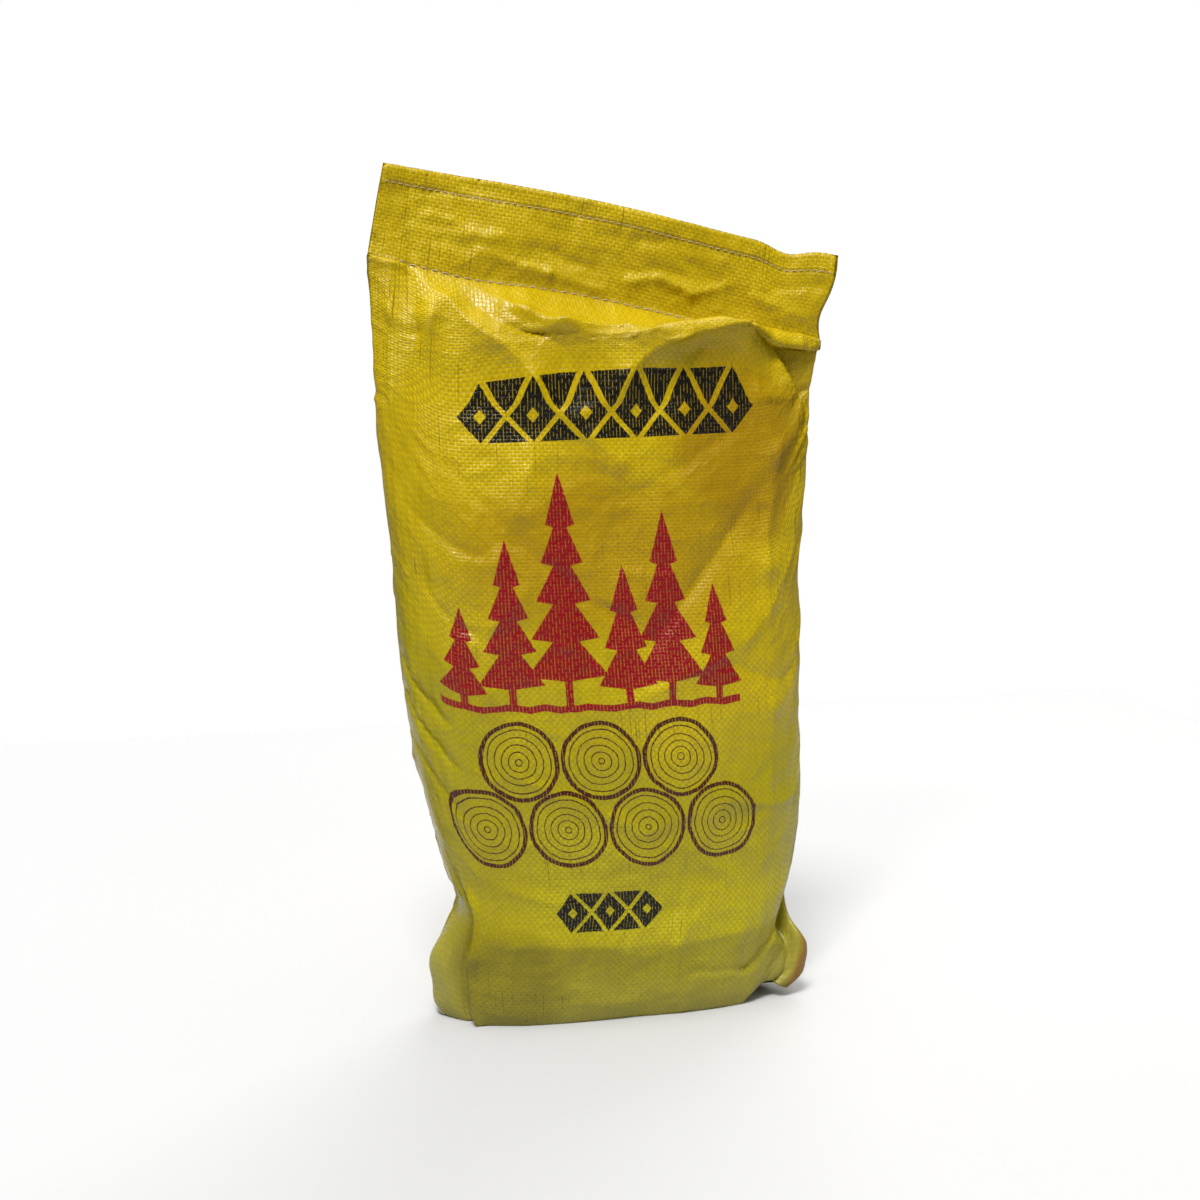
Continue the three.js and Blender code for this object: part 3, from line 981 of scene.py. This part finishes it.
def woven_plastic(sack):
    """Laminated woven plastic: two-toned tapes under a clear film, with the front's print. The tapes'
    colour holds a painted highlight where they cross over, and painted light and shade.
    """
    film = {"Roughness": 0.3, "IOR": 1.45, "Specular IOR Level": 0.34}
    made, tree, shader = fresh_material("woven_plastic", film)
    uv, u, v = cloth_places(tree)
    relief, top, wave_u = woven_relief(u, v)
    broad = flat_noise(tree, uv, 9.0, 3.0)
    fine = flat_noise(tree, uv, 260.0)
    soft = flat_noise(tree, uv, 28.0) - 0.5
    upright = flat_noise(tree, uv, 1.0, 1.0, (330.0, 20.0))
    level = flat_noise(tree, uv, 1.0, 1.0, (26.0, 300.0))
    splits = flat_noise(tree, uv, 1.0, 0.0, (620.0, 16.0))
    folds = abs(flat_noise(tree, uv, 42.0, 1.0) - 0.5)
    wrinkles = abs(flat_noise(tree, uv, 120.0, 1.0) - 0.5)

    patch = broad.above(0.5, 0.16)
    # Painted highlight: the tapes are paler where they cross over on top, more so in the broad patches.
    # The rest of the share is random tone and streaks.
    float_highlight = relief * (0.5 + 0.5 * top)
    tape = 0.04 + 0.30 * broad + 0.55 * float_highlight * (0.55 + 0.6 * patch) + 0.26 * upright + 0.16 * level
    colour = cloth_colour_with_painted_light(tree, sack, u, v, tape, broad, soft)
    split = splits.above(0.81, 0.02) * broad.above(0.52, 0.04)
    colour = blend(tree, 0.5 * split, colour, SPLIT_TAPE)

    # Ink misses the gaps beside the upright tapes.
    gap = (1 - abs(wave_u).above(0.3, 0.12)) * fine.above(0.47, 0.05)
    inked = 1 - 0.6 * gap * (1 - abs(top).above(0.55, 0.2))
    colours = (sack.crimson_ink, sack.brown_ink, sack.black_ink)
    for mask, ink in zip(inks(u, v, soft, fine), colours):
        colour = blend(tree, mask * inked, colour, ink)

    # Each line of sewing lies in a groove, darkened for its needle holes and with painted shade.
    sewn = union(*(1 - abs(v - line / MM) / 3.0 for line in (SEAM_V, HEM_V))).math("MAXIMUM", 0.0)
    colour = blend(tree, 0.45 * sewn, colour, GROOVE_HOLES_AND_SHADE)
    woven = relief * (0.7 + 0.6 * patch) * (sack.weave_depth / MM)
    height = woven - folds * 2.6 - wrinkles * 0.7 + fine * 0.04 + upright * 0.05 - sewn * 0.5
    bump = node(tree, "ShaderNodeBump", None, {"Strength": 1.0, "Distance": MM, "Height": height})
    rough = 0.16 + 0.15 * broad + 0.08 * (1 - relief)
    join(shader, {"Base Color": colour, "Normal": bump, "Roughness": rough})
    return made


def object_noise(tree, scale, detail=2.0, squeeze=(1.0, 1.0, 1.0)):
    """A noise through the whole object, squeezed along its three axes."""
    place = node(tree, "ShaderNodeTexCoord", None, (), "Object")
    place = node(tree, "ShaderNodeVectorMath", {"operation": "MULTIPLY"}, (place, squeeze))
    inputs = {"Vector": place, "Scale": scale, "Detail": detail}
    return node(tree, "ShaderNodeTexNoise", None, inputs)


def spun_thread(sack):
    """Undyed spun thread, mottled."""
    made, tree, shader = fresh_material("sewing_thread", {"Roughness": 0.85, "Sheen Weight": 0.2})
    pale = sack.thread_colour
    speck = object_noise(tree, 900.0)
    join(shader, {"Base Color": blend(tree, speck, [0.5 * c for c in pale], pale)})
    return made


def split_wood(sack):
    """Split hardwood: long grain streaks, darker along the cracks."""
    made, tree, shader = fresh_material("split_wood", {"Roughness": 0.8})
    grain = object_noise(tree, 1.0, 4.0, (220.0, 220.0, 9.0))
    broad = object_noise(tree, 14.0)
    pale = sack.wood_colour
    colour = blend(tree, 0.6 * grain + 0.4 * broad, [0.22 * c for c in pale], pale)
    bump = node(tree, "ShaderNodeBump", None, {"Strength": 0.6, "Distance": 2 * MM, "Height": grain})
    join(shader, {"Base Color": colour, "Normal": bump})
    return made


# Settings


def colour_property(name, description, default):
    """A colour in linear RGB."""
    return FloatVectorProperty(
        name=name, description=description, subtype="COLOR", size=3, min=0, max=1, default=default
    )


def length_property(name, description, default, least, most):
    """A size in metres."""
    return FloatProperty(
        name=name, description=description, default=default, min=least, max=most,
        unit="LENGTH", precision=5,
    )


def strength_property(name, description, default, measure="NONE"):
    """A light's strength."""
    return FloatProperty(name=name, description=description, default=default, min=0, unit=measure)


class SackSettings(bpy.types.PropertyGroup):
    """The sack's colours and sizes that may be changed"""

    # The light tape colour is also the weave's painted highlight where the tapes cross over.
    cloth_dark: colour_property("Cloth, dark", "Colour of the lower tapes", (0.30, 0.195, 0.0003))
    cloth_light: colour_property("Cloth, light", "Colour of the upper tapes", (0.62, 0.46, 0.002))
    # Tape colours towards the foot, which carry a painted tint of bluish light.
    foot_painted_light_dark: colour_property("Foot, dark", "The lower tapes near the foot", (0.205, 0.162, 0.0005))
    foot_painted_light_pale: colour_property("Foot, light", "The upper tapes near the foot", (0.43, 0.385, 0.005))
    # Colour of the painted shade across the upper middle.
    painted_shade_colour: colour_property("Deep patch", "Colour across the upper middle", (0.29, 0.155, 0.0003))
    crimson_ink: colour_property("Trees", "Ink of the row of trees", (0.23, 0.003, 0.008))
    brown_ink: colour_property("Log ends", "Ink of the pile of log ends", (0.055, 0.010, 0.003))
    black_ink: colour_property("Friezes", "Ink of the two rows of diamonds", (0.007, 0.006, 0.004))
    thread_colour: colour_property("Thread", "Colour of all the sewing", (0.66, 0.50, 0.34))
    wood_colour: colour_property("Wood", "Palest colour of the split logs", (0.50, 0.30, 0.14))
    crumpling: FloatProperty(
        name="Crumpling", description="How far creases stand out; 1 is as measured",
        default=1.0, min=0, max=2,
    )
    weave_depth: length_property("Weave depth", "How far the tapes stand out", 0.0003, 0, 0.001)
    stitch_pitch: length_property("Stitch pitch", "One closing stitch with its gap", 0.010, 0.004, 0.02)
    thread_thickness: length_property("Thread size", "Closing thread's diameter", 0.0011, 0.0004, 0.002)


class StudioSettings(bpy.types.PropertyGroup):
    """The studio's lights and camera"""

    key_strength: strength_property("Key", "Strength of the high soft key light", 2.65)
    spot_strength: strength_property("Spot", "Power of the spot on the upper half", 40.0, "POWER")
    fill_strength: strength_property("Fill", "Strength of the light from behind", 1.5)
    background: strength_property("Background", "Brightness behind the floor", 1.0)
    camera_distance: length_property("Camera distance", "From camera to sack", 1.6, 0.8, 6)


# Operators


def add_camera(context, distance):
    """Puts the camera at a distance from its target, in the photo's direction, with the lens that
    takes in the frame's width there."""
    aim = np.array(
        [
            math.sin(CAMERA_TURN) * math.cos(CAMERA_TILT),
            math.cos(CAMERA_TURN) * math.cos(CAMERA_TILT),
            -math.sin(CAMERA_TILT),
        ]
    )
    lens = bpy.data.cameras.new("camera")
    lens.lens = lens.sensor_width * distance / FRAME_WIDTH
    camera = bpy.data.objects.new("camera", lens)
    camera.location = CAMERA_TARGET - distance * aim
    camera.rotation_euler = (math.pi / 2 - CAMERA_TILT, 0, -CAMERA_TURN)
    context.scene.collection.objects.link(camera)
    context.scene.camera = camera


def add_floor(context):
    """A pale matt square to stand on, which is part of the stage."""
    corners = [(x * FLOOR, y * FLOOR, 0) for x, y in ((-1, -1), (1, -1), (1, 1), (-1, 1))]
    mesh = bpy.data.meshes.new("floor")
    mesh.from_pydata(corners, [], [(0, 1, 2, 3)])
    matt = {"Base Color": (0.52, 0.52, 0.52, 1), "Roughness": 1.0, "Specular IOR Level": 0.0}
    mesh.materials.append(fresh_material("pale_floor", matt)[0])
    stage = bpy.data.objects.new("floor", mesh)
    context.scene.collection.objects.link(stage)


def add_room(context, background):
    """A world that is plain to the camera. To all else it is a dim room with paler walls, a bright
    ceiling and one wide window in front of the sack."""
    world = bpy.data.worlds.new("studio")
    world.use_nodes = True
    tree = world.node_tree
    sky = tree.nodes["Background"]
    way = node(tree, "ShaderNodeTexCoord", None, (), "Generated")
    split = node(tree, "ShaderNodeSeparateXYZ", None, (way,))
    across, ahead, height = (Wire(tree, split.socket.node.outputs[k]) for k in range(3))
    seen = node(tree, "ShaderNodeLightPath", None, (), "Is Camera Ray")
    near_level = 1 - abs(height).above(0.24, 0.10)
    in_front = (across * -0.42 + ahead * -0.91).above(0.45, 0.08)
    window = (1 - abs(height - 0.62).above(0.07, 0.02)) * in_front
    overhead = 1.1 * height.above(0.78, 0.08) + 1.6 * height.above(0.93, 0.03)
    room = 0.07 + 0.14 * near_level + overhead + 2.4 * window
    join(sky, {"Strength": room + seen * (background - room)})
    sky.inputs["Color"].default_value = (1, 1, 1, 1)
    context.scene.world = world


def add_light(context, name, kind, strength, place, turn):
    """Puts a light at a place, turned by three angles in degrees, and returns its data."""
    data = bpy.data.lights.new(name, kind)
    data.energy = strength
    lamp = bpy.data.objects.new(name, data)
    lamp.location = place
    lamp.rotation_euler = [math.radians(angle) for angle in turn]
    context.scene.collection.objects.link(lamp)
    return data


class SACK_OT_stage(bpy.types.Operator):
    """Sets the camera, the studio lights and the pale floor"""

    bl_idname = "sack.stage"
    bl_label = "Studio"

    def execute(self, context):
        studio = context.scene.sack_studio
        context.scene.view_settings.view_transform = "Standard"
        add_camera(context, studio.camera_distance)
        add_floor(context)
        add_room(context, studio.background)
        key = add_light(context, "key", "SUN", studio.key_strength, (0, 0, 2), (28, 0, -24))
        key.angle = math.radians(16)
        fill = add_light(context, "fill", "SUN", studio.fill_strength, (0, 0, 2), (52, 0, 150))
        fill.angle = math.radians(40)
        by_camera = (-0.75, -1.25, 2.05)
        spot = add_light(context, "spot", "SPOT", studio.spot_strength, by_camera, (47, 0, -34))
        spot.color = (1.0, 0.90, 0.72)
        spot.spot_size = math.radians(36)
        spot.spot_blend = 1.0
        spot.shadow_soft_size = 0.12
        return {"FINISHED"}


class SACK_OT_cloth(bpy.types.Operator):
    """Makes the sack's cloth, from the bottom sewing to the mouth"""

    bl_idname = "sack.cloth"
    bl_label = "Sack cloth"

    def execute(self, context):
        points = settled_cloth(context.scene.sack.crumpling)
        cloth["points"] = points
        cloth["normals"] = surface_normals(points)
        whole = with_hem(points)
        rows, columns = whole.shape[:2]
        u = np.append(column_places(), 2 * FACE_WIDTH)
        v = np.append(np.linspace(0, MOUTH_V, ROWS + 1), MOUTH_V + HEM_TURN * HEM_SHARES)
        j, i = np.meshgrid(np.arange(rows - 1), np.arange(columns), indexing="ij")
        corners = ((0, 0), (1, 0), (1, 1), (0, 1))
        uv = np.stack([np.stack([u[i + a], v[j + b]], -1) for a, b in corners], axis=2)
        sack = mesh_object("sack_cloth", whole, closed_grid_faces(rows, columns), uv)
        sack.data.materials.append(woven_plastic(context.scene.sack))
        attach(sack, "root")
        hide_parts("sack")
        return {"FINISHED"}


def cloth_at(u, v):
    """Points of the settled cloth and its outward normals at places u and v, blended between the
    four nearest points of its grid."""
    columns = np.append(column_places(), 2 * FACE_WIDTH)
    u = np.clip(u % (2 * FACE_WIDTH), 0, 2 * FACE_WIDTH)
    i = np.clip(np.searchsorted(columns, u, "right") - 1, 0, len(columns) - 2)
    across = ((u - columns[i]) / (columns[i + 1] - columns[i]))[..., None]
    at = v / MOUTH_V * ROWS
    j = np.clip(at.astype(int), 0, ROWS - 1)
    up = (at - j)[..., None]
    k = (i + 1) % (len(columns) - 1)
    made = []
    for field in (cloth["points"], cloth["normals"]):
        lower = field[j, i] * (1 - across) + field[j, k] * across
        upper = field[j + 1, i] * (1 - across) + field[j + 1, k] * across
        made.append(lower * (1 - up) + upper * up)
    return made


# Stitches: points along one and round it, how far a line of sewing stays from the side folds, and
# where the closing one starts. A loop of the chain stitch is two threads that bow apart.
STITCH_STATIONS = 9
STITCH_SIDES = 8
FOLD_MARGIN = 3 * MM
CLOSING_START = 27 * MM
CHAIN_BOW = 1.3 * MM


def stitch_tubes(starts, v, length, thickness, bow):
    """Tubes of thread, one for each start along U. Each lies on the cloth for its length, dives
    into it at both ends, and bows along V by a half sine wave. Returns the points, by stitch,
    station and place round the tube."""
    t = np.linspace(0, 1, STITCH_STATIONS)
    u = starts[:, None] + length * t
    arch = np.sin(np.pi * t)
    where, normal = cloth_at(u, v + bow * arch + 0 * u)
    path = where + normal * (thickness * (1.5 * arch**0.6 - 1.0))[None, :, None]
    ahead = unit(np.gradient(path, axis=1))
    aside = unit(np.cross(ahead, normal))
    out = np.cross(aside, ahead)
    radius = thickness / 2 * np.maximum(1 - np.abs(2 * t - 1) ** 6, 0.02) ** 0.5
    turn = np.linspace(0, 2 * np.pi, STITCH_SIDES, endpoint=False)
    ring = np.cos(turn)[:, None] * aside[:, :, None, :] + np.sin(turn)[:, None] * out[:, :, None, :]
    return path[:, :, None, :] + ring * radius[None, :, None, None]


def sewing(name, replaced, rows, thread):
    """A line of sewing as one piece: rows of stitch tubes, each row given by its v, first u, last
    u, pitch, length, thickness and bow."""
    parts = []
    for v, first, last, pitch, length, thickness, bow in rows:
        starts = np.arange(first, last - length, pitch)
        parts.append(stitch_tubes(starts, v, length, thickness, bow))
    points = np.concatenate(parts)
    stitches, stations, sides = points.shape[:3]
    tube = closed_grid_faces(stations, sides)
    faces = (tube[None] + (np.arange(stitches) * stations * sides)[:, None, None]).reshape(-1, 4)
    piece = mesh_object(name, points, faces[:, ::-1])
    piece.data.materials.append(thread)
    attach(piece, "root")
    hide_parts(replaced)


class SACK_OT_sewing(bpy.types.Operator):
    """Sews the hem, the closing seam and the bottom"""

    bl_idname = "sack.sewing"
    bl_label = "Sewing"

    def execute(self, context):
        if "points" not in cloth:
            raise RuntimeError("make the cloth before its sewing")
        sack = context.scene.sack
        thread = spun_thread(sack)
        pitch, thick = sack.stitch_pitch, sack.thread_thickness
        front = (FOLD_MARGIN, FACE_WIDTH - FOLD_MARGIN)
        rear = (FACE_WIDTH + FOLD_MARGIN, 2 * FACE_WIDTH - FOLD_MARGIN)
        hem = [(HEM_V, *face, 0.7 * pitch, 0.52 * pitch, 0.75 * thick, 0) for face in (front, rear)]
        sewing("hem_stitches", "mouth_hem_thread", hem, thread)

        def chain(v, first):
            """A chain stitch: plain stitches on the front, and two bowed threads for each loop on
            the rear."""
            plain = (v, first, front[1], pitch, 0.76 * pitch, thick, 0)
            loop = (v, *rear, pitch, 1.1 * pitch, 0.9 * thick)
            return [plain, (*loop, -CHAIN_BOW), (*loop, CHAIN_BOW)]

        sewing("closing_stitches", "closing_seam_thread", chain(SEAM_V, CLOSING_START), thread)
        sewing("bottom_stitches", "bottom_seam_thread", chain(BOTTOM_V, FOLD_MARGIN), thread)
        return {"FINISHED"}


class SACK_OT_load(bpy.types.Operator):
    """Gives the logs their finish"""

    bl_idname = "sack.load"
    bl_label = "Split logs"

    def execute(self, context):
        wood = split_wood(context.scene.sack)
        for name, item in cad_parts.items():
            if name.startswith("log_"):
                for slot in item.material_slots:
                    slot.material = wood
        return {"FINISHED"}


class SACK_PT_panel(bpy.types.Panel):
    """Lists the steps that build the sack"""

    bl_idname = "SACK_PT_panel"
    bl_label = "Firewood sack"
    bl_space_type = "VIEW_3D"
    bl_region_type = "UI"
    bl_category = "Firewood sack"

    def draw(self, context):
        for step in STEPS:
            self.layout.operator(step.bl_idname)
        for group in (context.scene.sack, context.scene.sack_studio):
            box = self.layout.box()
            for name in type(group).__annotations__:
                box.prop(group, name)


cloth = {}
STEPS = (SACK_OT_stage, SACK_OT_cloth, SACK_OT_sewing, SACK_OT_load)
CLASSES = (SackSettings, StudioSettings, *STEPS, SACK_PT_panel)


def register():
    for item in CLASSES:
        bpy.utils.register_class(item)
    bpy.types.Scene.sack = PointerProperty(type=SackSettings)
    bpy.types.Scene.sack_studio = PointerProperty(type=StudioSettings)


def unregister():
    del bpy.types.Scene.sack_studio
    del bpy.types.Scene.sack
    for item in reversed(CLASSES):
        bpy.utils.unregister_class(item)


def main():
    register()
    bpy.ops.sack.stage()
    bpy.ops.sack.cloth()
    bpy.ops.sack.sewing()
    bpy.ops.sack.load()


if __name__ == "__main__":
    main()
